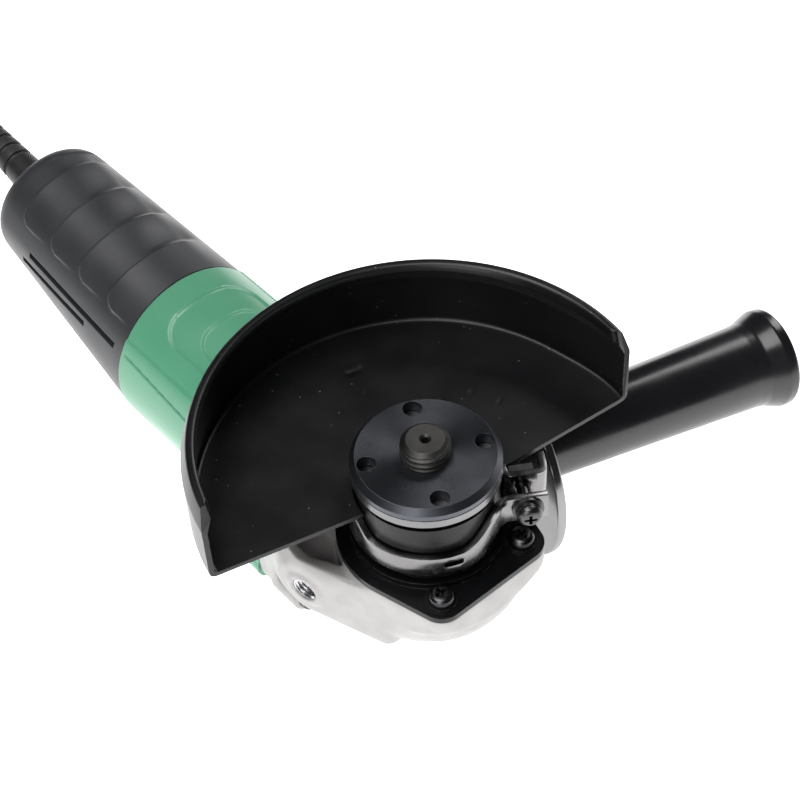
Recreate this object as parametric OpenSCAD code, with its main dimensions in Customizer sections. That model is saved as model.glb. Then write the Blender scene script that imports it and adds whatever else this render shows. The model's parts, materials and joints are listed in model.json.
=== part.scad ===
// Angle grinder with a wheel guard, a side handle and a mains lead, lying on its back.
// Origin: on the spindle axis, at the lock nut's outer face.
// +Z runs out along the spindle, +Y towards the tail, +X towards the side handle.

/* [Spindle] */
// Outer diameter of the spindle's thread
thread_d = 13.9; // [13.8:0.02:13.92]
// Outer diameter of the lock nut
nut_d = 41.6; // [40:0.1:42]
// Height of the lock nut
nut_h = 3.6; // [3.4:0.1:3.6]
// Diameter of the circle through the lock nut's spanner holes
nut_holes_pcd = 32.7; // [31:0.1:33]
// Teeth on the ring gear
ring_teeth = 37; // [37:1:37]
// Teeth on the pinion
pinion_teeth = 11; // [11:1:11]

/* [Guard] */
// Outer diameter of the wheel guard's wall
guard_d = 130.6; // [122:0.2:132]
// How much narrower the guard's rim is than its wall, in diameter
guard_rim_step = 4; // [2:0.5:5]
// Angle that the guard covers
guard_span = 175; // [150:1:178]
// Thickness of the guard's sheet steel
guard_sheet = 1.5; // [1.2:0.1:1.6]
// Height of the guard's rim above the lock nut's face
guard_rim_z = 11.4; // [8:0.2:14]

/* [Body] */
// Depth of the motor axis below the origin
motor_axis_drop = 45; // [45:1:45]
// Outer diameter of the motor housing
housing_d = 54.4; // [54:0.1:54.8]
// Depth of the back that the tool lies on
back_drop = 73.5; // [73:0.1:74]
// Distance from the spindle axis to the seam between motor housing and tail cover
seam_y = 115.5; // [115:0.5:117]
// Distance from the spindle axis to the end of the tail cover
tail_end_y = 192; // [190:0.5:196]

/* [Side handle] */
// Angle that the handle is swept towards the nose
handle_sweep = 14.5; // [12:0.5:16]
// Angle that the handle is tilted away from the wheel
handle_tilt = 2.6; // [2:0.1:4]
// Diameter of the handle's hand stop
hand_stop_d = 63.4; // [50:0.2:64]
// Distance from the case's centre to the end of the grip
grip_end = 138.5; // [120:0.5:150]

/* [Lead] */
// Diameter of the mains lead
cord_d = 7.5; // [7:0.1:7.5]
// Diameter across the coil, at mid-turn
coil_d = 88; // [80:1:90]

/* [Hidden] */
$fn = 64;
case_colour = "silver";
black = "#1c1d1f";
steel = "#b8bbc0";
dark_steel = "#3a3c40";
green = "#5fa183";
charcoal = "#303236";
copper = "#b87333";
brass = "#c9a94e";
cream = "#e6e2d6";

thread_r = thread_d / 2;
nut_r = nut_d / 2;
axis_z = -motor_axis_drop;
back_z = -back_drop;
housing_r = housing_d / 2;
cover_top_z = -31;            // top of the bearing cover's plate
case_top_z = -33;             // seam between bearing cover and gear case
neck_r = 20;                  // round neck that the guard turns on
neck_top_z = -9;
step_y = 26.5;                // the case stands up behind this line
case_rear_y = 44;             // seam between gear case and motor housing
case_rear_r = 28.5;
flange_half = 30.5;           // half width of the square joint flange
lug_x = 25.5;                 // case screws, from the motor axis
lug_z = 22.5;
fit_gap = 0.03;               // radial gap of parts pressed together
run_gap = 0.05;               // radial gap of parts that turn

// ---- small helpers ----

module disc(z0, z1, r) translate([0, 0, z0]) cylinder(h = z1 - z0, r = r);

module ring(z0, z1, outer, inner) difference() {
  disc(z0, z1, outer);
  disc(z0 - 1, z1 + 1, inner);
}

module cone(z0, z1, r0, r1) translate([0, 0, z0]) cylinder(h = z1 - z0, r1 = r0, r2 = r1);

// A block given by its low and high corners
module block(low, high) translate(low) cube(high - low);

// Local Z runs along the motor axis towards the tail, local Y points to the tool's back
module along_motor() translate([0, 0, axis_z]) rotate([-90, 0, 0]) children();

// An arc of points round a centre, from angle a0 to a1
function arc(cx, cy, r, a0, a1, steps) =
  [for (i = [0 : steps]) let (a = a0 + (a1 - a0) * i / steps) [cx + r * cos(a), cy + r * sin(a)]];

module rounded_square(half_x, low_y, high_y, r) {
  block2([-half_x + r, low_y], [half_x - r, high_y]);
  block2([-half_x, low_y + r], [half_x, high_y - r]);
  for (x = [-half_x + r, half_x - r], y = [low_y + r, high_y - r]) translate([x, y]) circle(r = r);
}

module block2(low, high) translate(low) square(high - low);

// Pan head screw: the head's seat is at z = 0, the head points to +Z
module pan_screw(shank_r, length, head_r, head_h) difference() {
  union() {
    disc(-length, 0, shank_r);
    rotate_extrude() polygon(concat([[0, 0], [head_r - 0.2, 0], [head_r, 0.3]],
      arc(head_r - 0.75 * head_h, 0.25 * head_h, 0.75 * head_h, 0, 90, 5), [[0, head_h]]));
  }
  for (a = [0, 90]) rotate(a) block([-head_r * 0.5, -0.45, head_h * 0.3], [head_r * 0.5, 0.45, head_h + 1]);
}

// Shielded ball bearing: one closed ring with a groove in each side
module ball_bearing(z0, z1, outer, inner) difference() {
  ring(z0, z1, outer, inner);
  groove_in = inner + (outer - inner) * 0.3;
  groove_out = inner + (outer - inner) * 0.7;
  ring(z0 - 1, z0 + 0.5, groove_out, groove_in);
  ring(z1 - 0.5, z1 + 1, groove_out, groove_in);
}

// ---- spindle group ----

spindle_tip_z = 5.6;
free_thread_low = 0;
free_thread_high = 4.2;
covered_thread_r = thread_r - 0.2;
shoulder_z = -12;
bearing_top_z = -14.5;
bearing_bottom_z = -25.5;
bearing_seat_r = 7.5;
gear_seat_r = 6.5;
gear_top_z = -33.6;
gear_web_z = -37.4;
gear_hub_z = -41;
journal_r = 4;
spindle_end_z = -61;

module spindle() color(dark_steel) difference() {
  union() {
    cone(free_thread_high, spindle_tip_z, thread_r, 5.3);
    disc(free_thread_low, free_thread_high, thread_r);
    disc(shoulder_z, free_thread_low, covered_thread_r);
    disc(bearing_bottom_z, shoulder_z, bearing_seat_r);
    disc(-28.5, bearing_bottom_z, 8.6);
    disc(-43, -28.5, gear_seat_r);
    disc(spindle_end_z, -43, journal_r);
  }
  disc(spindle_tip_z - 3, spindle_tip_z + 1, 1.2);
  ring(-42.2, gear_hub_z, gear_seat_r + 1, gear_seat_r - 0.6);
}

flange_top_z = -nut_h - 0.3;
flange_edge_z = flange_top_z - 2.6;
pilot_r = 11.1;

module inner_flange() color(steel) difference() {
  union() {
    disc(flange_top_z, flange_top_z + 1.2, pilot_r);
    disc(flange_edge_z, flange_top_z, nut_r);
    disc(shoulder_z, flange_edge_z, 10);
  }
  disc(shoulder_z - 1, 0, covered_thread_r + fit_gap);
}

nut_face_z = -0.05;  // just below the free thread, where an accessory's end would touch
nut_holes_turn = 61.9;

module lock_nut() color(black) difference() {
  union() {
    cone(-2, nut_face_z, nut_r, nut_r - 1.45);
    disc(-nut_h, -2, nut_r);
  }
  disc(-nut_h - 1, 1, thread_r + fit_gap);
  disc(-nut_h - 1, -nut_h + 1.4, pilot_r + 0.5);
  for (i = [0 : 3]) rotate(nut_holes_turn + 90 * i) translate([nut_holes_pcd / 2, 0, -nut_h - 1])
    cylinder(h = nut_h + 2, r = 2.7);
}

// Bevel gears: both pitch cones meet at the point where the spindle axis crosses the motor axis
module_mm = 20 * 2 / ring_teeth;
ring_pitch_r = 20;
pinion_pitch_r = ring_pitch_r * pinion_teeth / ring_teeth;
pressure_angle = 20;
backlash = 0.3;
ring_addendum = 0.55 * module_mm;
pinion_addendum = 1.2 * module_mm;
root_gap = 0.35 * module_mm;
thick_shift = 2 * 0.35 * module_mm * tan(pressure_angle);

function inv_rad(a) = tan(a) - a * PI / 180;
// Half the angle that a tooth covers at height h above the pitch cone
function tooth_half_angle(pitch_r, cone_angle, thickness, h) =
  let (virtual_r = pitch_r / cos(cone_angle),
       rho = virtual_r + h,
       a = acos(min(1, virtual_r * cos(pressure_angle) / rho)),
       spread = thickness / (2 * virtual_r) + inv_rad(pressure_angle) - inv_rad(a))
  spread * rho / (pitch_r + h * cos(cone_angle)) * 180 / PI;
// Radius of height h where the tooth's cone crosses a plane at distance plane_d from the apex
function radius_in_plane(pitch_r, cone_angle, h, plane_d) =
  let (back = pitch_r / tan(cone_angle)) plane_d * (pitch_r + h * cos(cone_angle)) / (back - h * sin(cone_angle));
function bevel_outline(teeth, pitch_r, cone_angle, thickness, heights, plane_d, phase) =
  [for (i = [0 : teeth - 1], side = [-1, 1], k = [0 : len(heights) - 1])
    let (h = heights[side < 0 ? k : len(heights) - 1 - k],
         a = phase + 360 * i / teeth + side * tooth_half_angle(pitch_r, cone_angle, thickness, h),
         r = radius_in_plane(pitch_r, cone_angle, h, plane_d))
    [r * cos(a), r * sin(a)]];

pinion_cone = atan(pinion_teeth / ring_teeth);
ring_cone = 90 - pinion_cone;
half_pitch = PI * module_mm / 2;
ring_plane = 7.6;

module ring_gear_teeth() {
  heights = [-pinion_addendum - root_gap, 0, ring_addendum];
  outline = bevel_outline(ring_teeth, ring_pitch_r, ring_cone, half_pitch - thick_shift - backlash / 2,
                          heights, ring_plane, 90 + 180 / ring_teeth);
  translate([0, 0, axis_z + ring_plane]) mirror([0, 0, 1])
    linear_extrude(height = ring_plane * 0.5, scale = 0.5) polygon(outline);
}

module ring_gear() color(steel) difference() {
  union() {
    disc(gear_web_z, gear_top_z, 20.6);
    disc(gear_hub_z, gear_web_z, 8);
    intersection() {
      ring_gear_teeth();
      ring(-42, gear_web_z, 20.6, 15.6);
    }
  }
  disc(gear_hub_z - 1, gear_top_z + 1, gear_seat_r + fit_gap);
  for (i = [0 : 3]) rotate(90 * i) lock_window();
}

// Window in the gear's web that the lock pin enters
window_r = 2.2;
window_angles = [-127.5, -89];
module lock_window() translate([0, 0, gear_web_z - 1]) {
  rotate(window_angles[0]) rotate_extrude(angle = window_angles[1] - window_angles[0])
    block2([lock_pin_r - window_r, 0], [lock_pin_r + window_r, 6]);
  for (a = window_angles) rotate(a) translate([lock_pin_r, 0, 0]) cylinder(h = 6, r = window_r);
}

module gear_circlip() color(dark_steel) ring(-42.1, gear_hub_z, 8, gear_seat_r - 0.55);

// ---- bearing cover and gear case ----

head_r = 26.4;                // bulge of the head's sides
head_corner_r = 6.4;          // corners round the cover screws
cover_screw_x = 14.8;
cover_rear_half = 19.4;       // half width of the head behind its round middle
cover_screw_y = 21.9;

// Plan of the gear head: a round head with two corners at the nose and a narrower block behind
module head_outline(rear) {
  hull() {
    circle(r = head_r, $fn = 96);
    for (x = [-1, 1]) translate([x * cover_screw_x, -cover_screw_y]) circle(r = head_corner_r, $fn = 48);
  }
  block2([-cover_rear_half, 0], [cover_rear_half, rear]);
}

cover_boss_z = cover_top_z + 0.8;
cover_step_z = cover_top_z + 1.9;

module at_cover_screws() for (x = [-1, 1], y = [-1, 1])
  translate([x * cover_screw_x, y * cover_screw_y, cover_boss_z]) children();

module bearing_cover() color(black) difference() {
  union() {
    translate([0, 0, case_top_z]) linear_extrude(cover_top_z - case_top_z) head_outline(step_y - 0.5);
    disc(cover_top_z, neck_top_z, neck_r);
    disc(cover_top_z, cover_step_z, neck_r + 2.4);
    at_cover_screws() disc(cover_top_z - cover_boss_z, 0, 4.5);
  }
  disc(neck_top_z - 3, neck_top_z + 1, 10.8);
  disc(bearing_top_z, neck_top_z - 2, 13);
  disc(case_top_z - 1, bearing_top_z, 17.5 + fit_gap);
  at_cover_screws() disc(-10, 10, 2.1);
}

module cover_screws() color(dark_steel) at_cover_screws() pan_screw(2, 11, 3.7, 2.6);

module spindle_bearing() color(steel)
  ball_bearing(bearing_bottom_z, bearing_top_z, 17.5, bearing_seat_r + run_gap);

module bearing_retainer() color(dark_steel) ring(-28.4, bearing_bottom_z, 17.4, 13);

// The nose rounds off towards the back like a ball
nose_ball_r = 27;
nose_back_z = -66;

module nose_solid() {
  wall_r = 34;
  turn_z = nose_back_z + nose_ball_r;
  round_r = 28.6 - nose_ball_r;
  intersection() {
    translate([0, 0, nose_back_z]) linear_extrude(case_top_z - nose_back_z) head_outline(step_y);
    rotate_extrude() polygon(concat(
      [[0, case_top_z], [0, nose_back_z]],
      arc(round_r, turn_z, nose_ball_r, -90, -10, 8),
      [[wall_r, turn_z + 2], [wall_r, case_top_z]]));
  }
}

handle_root = [0, 24.5, axis_z + 0.2];
boss_end = 35.6;
boss_r = 9.5;
boss_ring_r = 6;
stud_hole_r = 3.9;
stud_hole_start = 21.6;

// Local Z runs along a handle's axis; side is 1 for the handle and -1 for the spare hole
module along_handle(side) mirror([side < 0 ? 1 : 0, 0, 0])
  translate(handle_root) rotate([0, 0, -handle_sweep]) rotate([0, 90 + handle_tilt, 0]) children();

module joint_flange(y0, y1) along_motor() translate([0, 0, y0]) linear_extrude(y1 - y0)
  rounded_square(flange_half, -27, back_drop - motor_axis_drop, 8);

module at_case_screws(y) for (x = [-1, 1], z = [-1, 1])
  translate([x * lug_x, y, axis_z + z * lug_z]) rotate([90, 0, 0]) children();

front_bearing_y = 32.5;
front_bearing_rear_y = 41.5;
lock_pin_r = 12.2;
lock_well_r = 5.5;
lock_button_r = 5.2;
bush_r = 5.8;
lock_well_z = -53;

flank_low_z = -57;
flank_top_z = -34;
flank_edge_r = 4;
flank_corners = [[26.5, 38], [29.5, 18], [21.5, -6]];
pocket_floor_z = -39;
pocket_corners = [[15, 1], [23, 1], [30.5, 17], [29.5, step_y], [15, step_y]];

// Flat flank of the case that joins the flange, the handle's boss and the nose
module flank(side) hull() {
  along_handle(side) disc(20, boss_end - 0.8, boss_r);
  for (p = flank_corners) translate([side * p[0], p[1], 0]) disc(flank_low_z, flank_top_z, flank_edge_r);
}

// Pocket between the flank and the round head
module flank_pocket(side) translate([0, 0, pocket_floor_z]) linear_extrude(20) difference() {
  polygon([for (p = pocket_corners) [side * p[0], p[1]]]);
  head_outline(step_y + 1);
}

module gear_case() color(case_colour) difference() {
  union() {
    nose_solid();
    along_motor() disc(8, case_rear_y, case_rear_r);
    joint_flange(36, case_rear_y);
    for (side = [-1, 1]) {
      flank(side);
      along_handle(side) disc(30, boss_end, boss_ring_r);
    }
    at_case_screws(26) disc(-12, 0, 5.4);
  }
  // seat of the bearing cover, in front of the step
  block([-40, -40, case_top_z], [40, step_y, 0]);
  for (side = [-1, 1]) flank_pocket(side);
  // room for the gears, the pinion and the front bearing
  disc(-43, case_top_z + 1, 23.4);
  disc(-54, -42, 12.4);
  along_motor() disc(0, front_bearing_y + 1, 9.5);
  along_motor() disc(front_bearing_y, front_bearing_rear_y, 15 + fit_gap);
  along_motor() disc(front_bearing_rear_y, case_rear_y + 1, 21);
  // bush of the spindle's end
  disc(-62.5, -53, bush_r + fit_gap);
  for (side = [-1, 1]) along_handle(side) disc(stud_hole_start, boss_end + 1, stud_hole_r);
  at_cover_screws() disc(-12, 0, 2.03);
  at_case_screws(case_rear_y) disc(-1, 30, 2.2);
  at_case_screws(26) disc(0, 12, 4.6);
  // well of the lock button
  translate([lock_pin_r, 0, 0]) disc(-80, lock_well_z, lock_well_r);
  translate([lock_pin_r, 0, 0]) disc(-60, -40, 2);
}

module needle_bush() color(brass) ring(spindle_end_z, -54.2, bush_r, journal_r + run_gap);

module case_screws() color(dark_steel) at_case_screws(26) pan_screw(2, 30, 4, 3);

// ---- lock button ----

module lock_button() color(black) translate([lock_pin_r, 0, 0]) difference() {
  union() {
    disc(-68.6, -61, lock_button_r);
    cone(-69.6, -68.6, lock_button_r - 1, lock_button_r);
  }
  disc(-64, -60, 1.9 + fit_gap);
}

module lock_pin() color(steel) translate([lock_pin_r, 0, 0]) disc(-64, -40.4, 1.9);

module lock_pin_clip() color(dark_steel) translate([lock_pin_r, 0, 0]) ring(-42.9, -42.3, 2.8, 1.9 + fit_gap);

spring_wire_r = 0.45;
// A spring made of closed rings, one above another
module ring_spring(z0, z1, coil_r, turns) for (i = [0 : turns - 1])
  translate([0, 0, z0 + spring_wire_r + (z1 - z0 - 2 * spring_wire_r) * i / (turns - 1)])
    rotate_extrude() translate([coil_r, 0]) circle(r = spring_wire_r, $fn = 24);

module lock_spring() color(steel) translate([lock_pin_r, 0, 0]) ring_spring(-60.9, lock_well_z - 0.1, 3.6, 5);

// ---- guard ----

guard_r = guard_d / 2;
guard_rim_r = guard_r - guard_rim_step / 2;
guard_shoulder_z = guard_rim_z - 5.4; // the wall leans inwards above this level
guard_corner_r = 3;
guard_start = -9.5;
plate_top_z = -12.1;
plate_low_z = plate_top_z - guard_sheet;
lip_w = 2.2;

// The sheet is turned a little too far and then cut along its two straight edges, which aren't radial
guard_spare = [25, 7];         // extra angle at the start and at the end
start_edge = [62, -3.9, 3.9]; // a point of the edge and its angle, seen along the guard's start
end_edge = [64.1, 1.6, -0.5]; // the same at the guard's end
module wheel_guard() color(black) difference() {
  rotate(guard_start - guard_spare[0]) rotate_extrude(angle = guard_span + guard_spare[0] + guard_spare[1])
    guard_section();
  rotate(guard_start) translate([start_edge[0], start_edge[1], 0]) rotate(start_edge[2])
    block([-60, -40, -20], [10, 0, 20]);
  rotate(guard_start + guard_span) translate([end_edge[0], end_edge[1], 0]) rotate(end_edge[2])
    block([-60, 0, -20], [10, 30, 20]);
}

module guard_section() {
  block2([neck_r + 0.4, plate_low_z], [guard_r - guard_corner_r, plate_top_z]);
  block2([guard_r - guard_sheet, plate_low_z + guard_corner_r], [guard_r, guard_shoulder_z]);
  polygon([[guard_r - guard_sheet, guard_shoulder_z], [guard_r, guard_shoulder_z],
    [guard_rim_r, guard_rim_z], [guard_rim_r - guard_sheet, guard_rim_z]]);
  block2([guard_rim_r - lip_w, guard_rim_z - guard_sheet], [guard_rim_r - 0.5, guard_rim_z]);
  // rounded corner between plate and wall
  intersection() {
    translate([guard_r - guard_corner_r, plate_low_z + guard_corner_r]) difference() {
      circle(r = guard_corner_r);
      circle(r = guard_corner_r - guard_sheet);
    }
    block2([guard_r - guard_corner_r, plate_low_z], [guard_r, plate_low_z + guard_corner_r]);
  }
}

band_r = 22.4;
band_low_z = -25.5;
band_front_z = -18.6;
ear_angle = -33;
ear_t = 1.6;
ear_far = -10.7;
ear_near = -2.7;
ear_low_z = -20.8;
ear_top_z = -11.6;
clamp_x = 26;
clamp_z = -16;

// Local X runs out along the ears, local Y across the clamp's gap
module at_ears() rotate(ear_angle) children();

// The collar's band, open at the clamp, with a low front and a high back under the guard's plate
module collar_band() difference() {
  union() {
    disc(band_low_z, band_front_z, band_r);
    rotate(guard_start) rotate_extrude(angle = guard_span) {
      block2([0, band_front_z - 1], [band_r, plate_low_z]);
      block2([0, plate_low_z - guard_sheet], [27.5, plate_low_z]);
    }
  }
  at_ears() block([5, ear_far + ear_t, band_low_z - 1], [30, ear_near, ear_top_z]);
}

module collar_ears() at_ears() {
  block([18, ear_near, ear_low_z], [31.5, ear_near + ear_t, ear_top_z]);
  block([31.5, ear_near, ear_low_z], [31.5 + ear_t, ear_near + 7.6, ear_top_z]);
  block([14, ear_far, ear_low_z], [31.6, ear_far + ear_t, ear_top_z]);
}

module guard_collar() color(black) difference() {
  union() {
    collar_band();
    collar_ears();
  }
  disc(band_low_z - 1, neck_top_z, neck_r + run_gap);
  at_ears() translate([clamp_x, 0, clamp_z]) rotate([90, 0, 0]) disc(-10, 30, 2.2);
  // slot in the band
  rotate(-115) block([neck_r - 1, -3, -22.6], [band_r + 1, 3, -20.8]);
}

module at_clamp(y) at_ears() translate([clamp_x, y, clamp_z]) rotate([90, 0, 0]) children();

module clamp_screw() color(dark_steel) at_clamp(ear_far - 1.9) pan_screw(2, 16, 3.6, 2.6);

module clamp_washers() color(steel) {
  at_clamp(ear_far) ring(0, 0.9, 4.4, 2.1);
  at_clamp(ear_far - 0.9) ring(0, 1, 3.6, 2.1);
}

module clamp_nut() color(dark_steel) at_clamp(ear_near + ear_t) difference() {
  block([-3.4, -3.4, -3.2], [3.4, 3.4, 0]);
  disc(-4, 1, 2.05);
}

// ---- side handle ----

grip_start = 46.3;
grip_base_r = 11.2;
grip_tip_r = 13.3;
grip_flare_r = 15.75;

module handle_grip() color(black) difference() {
  along_handle(1) handle_solid();
  along_handle(1) disc(35, 60, 3.85 + fit_gap);
  // flat on the hand stop, level with the back
  block([30, -40, back_z - 20], [70, 60, back_z]);
}

module handle_solid() rotate_extrude() polygon(concat(
    [[0, 36], [9, 36], [9, 43.3], [hand_stop_d / 2 - 1, 43.3], [hand_stop_d / 2, 44.3],
     [hand_stop_d / 2, 45.3], [hand_stop_d / 2 - 1, grip_start]],
    arc(grip_base_r + 4, grip_start + 4, 4, -90, -180, 5),
    [[grip_tip_r, grip_end - 18]],
    arc(grip_tip_r + 20.5, grip_end - 18, 20.5, 180, 152, 5),
    arc(grip_flare_r - 3, grip_end - 3, 3, 0, 90, 5),
    [[0, grip_end]]));

module handle_stud() color(steel) along_handle(1) {
  cone(24, 25.5, 2.8, 3.85);
  disc(25.5, 59, 3.85);
}

// ---- armature ----

shaft_r = 5;
core_y = 61;
core_len = 40;
shaft_end_y = 132;

module armature_shaft() color(steel) along_motor() {
  disc(12, 24, 3.5);
  disc(24, 122, shaft_r);
  disc(122, shaft_end_y, 3.5);
}

module pinion() color(steel) along_motor() difference() {
  plane_d = 20.8;
  heights = [-ring_addendum - root_gap, -0.2, 0.5 * pinion_addendum, pinion_addendum];
  outline = bevel_outline(pinion_teeth, pinion_pitch_r, pinion_cone, half_pitch + thick_shift - backlash / 2,
                          heights, plane_d, -90);
  union() {
    translate([0, 0, plane_d]) mirror([0, 0, 1])
      linear_extrude(height = plane_d - 15, scale = 15 / plane_d) polygon(outline);
    disc(plane_d, 24, 5.6);
  }
  disc(14, 25, 3.5 + fit_gap);
}

module pinion_nut() color(dark_steel) along_motor() difference() {
  translate([0, 0, 12.2]) cylinder(h = 2.6, r = 5.2, $fn = 6);
  disc(11, 16, 3.5 + fit_gap);
}

module cooling_fan() color(charcoal) along_motor() difference() {
  union() {
    disc(51, 52.5, 20.5);
    disc(45.5, 51, 9);
    for (i = [0 : 8]) rotate(40 * i) block([8.5, -0.7, 45.5], [20.2, 0.7, 51]);
  }
  disc(44, 54, shaft_r + fit_gap);
}

module armature_core() color(dark_steel) along_motor() difference() {
  disc(core_y, core_y + core_len, 14.3);
  disc(core_y - 1, core_y + core_len + 1, shaft_r + fit_gap);
  for (i = [0 : 11]) rotate(30 * i) block([12.2, -1, core_y - 1], [16, 1, core_y + core_len + 1]);
}

module armature_windings() color(copper) along_motor() for (y = [[55.5, core_y], [core_y + core_len, 106.5]])
  ring(y[0], y[1], 12, shaft_r + fit_gap);

module commutator() color(copper) along_motor() difference() {
  disc(108, 120.5, 9.5);
  disc(107, 122, shaft_r + fit_gap);
  for (i = [0 : 23]) rotate(15 * i) block([8.8, -0.25, 107], [10, 0.25, 118.5]);
}

// ---- fixed motor parts ----

module front_bearing() color(steel) along_motor()
  ball_bearing(front_bearing_y, front_bearing_rear_y, 15, shaft_r + run_gap);

module front_bearing_plate() color(dark_steel) along_motor() ring(front_bearing_rear_y, 43, 20.9, 8);

module fan_baffle() color(charcoal) along_motor() ring(53.2, 54.6, 24.8, 15);

// Four slots of the field core, two for each coil
coil_slot_angle = 38;
module at_coil_sides() for (half = [0, 180], side = [-1, 1]) rotate(half + side * coil_slot_angle) children();

module stator_core() color(dark_steel) along_motor() difference() {
  ring(core_y, core_y + core_len, 24.8, 15.2);
  at_coil_sides() block([14, -3.2, core_y - 1], [21.2, 3.2, core_y + core_len + 1]);
}

module field_coils() color(copper) along_motor() {
  at_coil_sides() block([15.6, -3, 60], [21, 3, 102]);
  for (half = [0, 180], y = [56, 102]) rotate(half + coil_slot_angle - 9)
    translate([0, 0, y]) rotate_extrude(angle = 180 - 2 * coil_slot_angle + 18) block2([15.6, 0], [21, 4]);
}

rear_bearing_y = 124;
rear_bearing_end_y = 130;
module rear_bearing() color(steel) along_motor()
  ball_bearing(rear_bearing_y, rear_bearing_end_y, 9.5, 3.5 + run_gap);

module rear_bearing_bush() color(black) along_motor()
  ring(rear_bearing_y, rear_bearing_end_y, 11, 9.5 + fit_gap);

// One brush stands above the motor axis and one below it
module at_brushes() along_motor() for (a = [90, -90])
  rotate(a) translate([0, 0, 114]) rotate([0, 90, 0]) children();

module brush_holders() color(brass) at_brushes() difference() {
  block([-4.2, -4.2, 11], [4.2, 4.2, 23.4]);
  block([-3.2, -3.2, 10], [3.2, 3.2, 22.6]);
}

module carbon_brushes() color(charcoal) at_brushes() block([-3, -3, 9.9], [3, 3, 18.5]);

module brush_springs() color(steel) at_brushes() ring_spring(18.6, 22.5, 2.2, 3);

// ---- housings ----

housing_bore_r = 24.9;
foot_x = 12;

// The housing's round section with a flat along the back that it lies on
module housing_section() {
  foot_y = back_drop - motor_axis_drop;
  reach = norm([foot_x, foot_y]);
  touch_angle = atan2(foot_y, foot_x) - acos(housing_r / reach);
  touch = [housing_r * cos(touch_angle), housing_r * sin(touch_angle)];
  circle(r = housing_r);
  polygon([[-foot_x, foot_y], [foot_x, foot_y], touch, [-touch[0], touch[1]]]);
}

module motor_housing() color(green) difference() {
  union() {
    along_motor() translate([0, 0, case_rear_y]) linear_extrude(seam_y - case_rear_y) housing_section();
    joint_flange(case_rear_y, 52);
    at_case_screws(60) disc(0, 12, 5.6);
  }
  along_motor() disc(case_rear_y - 1, 106, housing_bore_r);
  // behind the coils the bore leaves two arms that carry the rear bearing
  along_motor() difference() {
    disc(105, seam_y + 1, housing_bore_r);
    for (side = [-1, 1]) block([side < 0 ? -26 : 12, -4, 107.5], [side < 0 ? -12 : 26, 4, seam_y + 1]);
  }
  at_case_screws(case_rear_y) disc(-13, 1, 2.03);
}

// Spider that carries the rear bearing and the brush holders, screwed to the housing's arms
module rear_spider() color(black) along_motor() difference() {
  union() {
    disc(118.5, 122, 20);
    disc(122, rear_bearing_end_y + 1.5, 13);
    for (side = [-1, 1]) block([side < 0 ? -21 : 12, -4, seam_y], [side < 0 ? -12 : 21, 4, 121]);
    translate([0, 10, 127]) rotate([-90, 0, 0]) disc(0, 11, 3.4);
  }
  disc(114, 121.8, 10.5);
  disc(121, 132, shaft_r + 0.6);
  disc(rear_bearing_y, rear_bearing_end_y, 11 + fit_gap);
  disc(rear_bearing_end_y - 0.1, 132, 8);
  for (a = [90, -90]) rotate(a) block([10.9, -4.3, 113], [24, 4.3, 118.3]);
  translate([0, 14, 127]) rotate([-90, 0, 0]) disc(0, 10, 1.53);
}

// The tail cover's axis rises towards the spindle side
tail_rise = 0.15;
tail_pitch = atan(tail_rise);
tail_len = (tail_end_y - seam_y) / cos(tail_pitch);
tail_taper = 0.084;
tail_wall = 2.4;
tail_end_round = 9;

module along_tail() translate([0, seam_y, axis_z]) rotate([-90 + tail_pitch, 0, 0]) children();

function tail_r(z) = housing_r - tail_taper * z;

module tail_solid(inset) {
  end_z = tail_len - inset;
  corner = tail_end_round - inset;
  corner_r = tail_r(end_z) - inset - corner;
  rotate_extrude() polygon(concat(
    [[0, -9], [tail_r(-9) - inset, -9]],
    arc(corner_r, end_z - corner, corner, 0, 90, 6),
    [[0, end_z]]));
}

slider_angle = 25;
sleeve_r = 6.4;
bridge_z = 66.5;

// Slanted air slots on both sides: angle round the axis, middle, length and slant
air_slots = [[-20, 31, 50, -4.7], [-8, 41, 38, -7.5]];

module tail_cover() color(charcoal) difference() {
  union() {
    difference() {
      along_tail() tail_solid(0);
      along_tail() tail_solid(tail_wall);
    }
    // bridge that the lead is clamped to
    along_tail() intersection() {
      block([-30, cord_d / 2 + 0.05, bridge_z], [30, 8, bridge_z + 4.5]);
      tail_solid(tail_wall - 0.5);
    }
  }
  // the seam with the motor housing
  block([-40, seam_y - 20, -100], [40, seam_y + 0.05, 0]);
  along_tail() disc(tail_len - 10, tail_len + 1, sleeve_r + 0.1);
  along_tail() for (mirrored = [0, 1], slot = air_slots)
    mirror([mirrored, 0, 0]) rotate(slot[0]) translate([0, 0, slot[1]]) rotate([slot[3], 0, 0])
      block([19, -1, -slot[2] / 2], [32, 1, slot[2] / 2]);
  // slot of the switch knob
  along_tail() rotate(slider_angle) block([18, -4.3, 11], [32, 4.3, 39.5]);
  along_motor() translate([0, 20, 127]) rotate([-90, 0, 0]) disc(0, 20, 1.8);
  along_motor() translate([0, 24.6, 127]) rotate([-90, 0, 0]) disc(0, 20, 3.4);
  along_tail() for (x = [-8, 8]) translate([x, 0, bridge_z + 2.2]) rotate([90, 0, 0]) disc(-12, 0, 1.23);
}

module tail_screw() color(dark_steel) along_motor() translate([0, 24.6, 127]) rotate([-90, 0, 0])
  pan_screw(1.5, 9, 3.1, 1.8);

// ---- switch ----

module on_slider() along_tail() rotate(slider_angle) children();

module switch_knob() color(black) on_slider() {
  block([20.2, -4, 19], [27.6, 4, 39]);
  block([27.6, -6.2, 16], [29.2, 6.2, 42]);
  for (i = [0 : 4]) block([29.2, -6.2, 19 + 4.6 * i], [30, 6.2, 21 + 4.6 * i]);
}

module switch_rod() color(steel) on_slider() {
  block([18.2, -2.5, 22], [20.2, 2.5, 43.5]);
  block([9, -2.5, 42], [18.2, 2.5, 43.5]);
}

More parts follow.
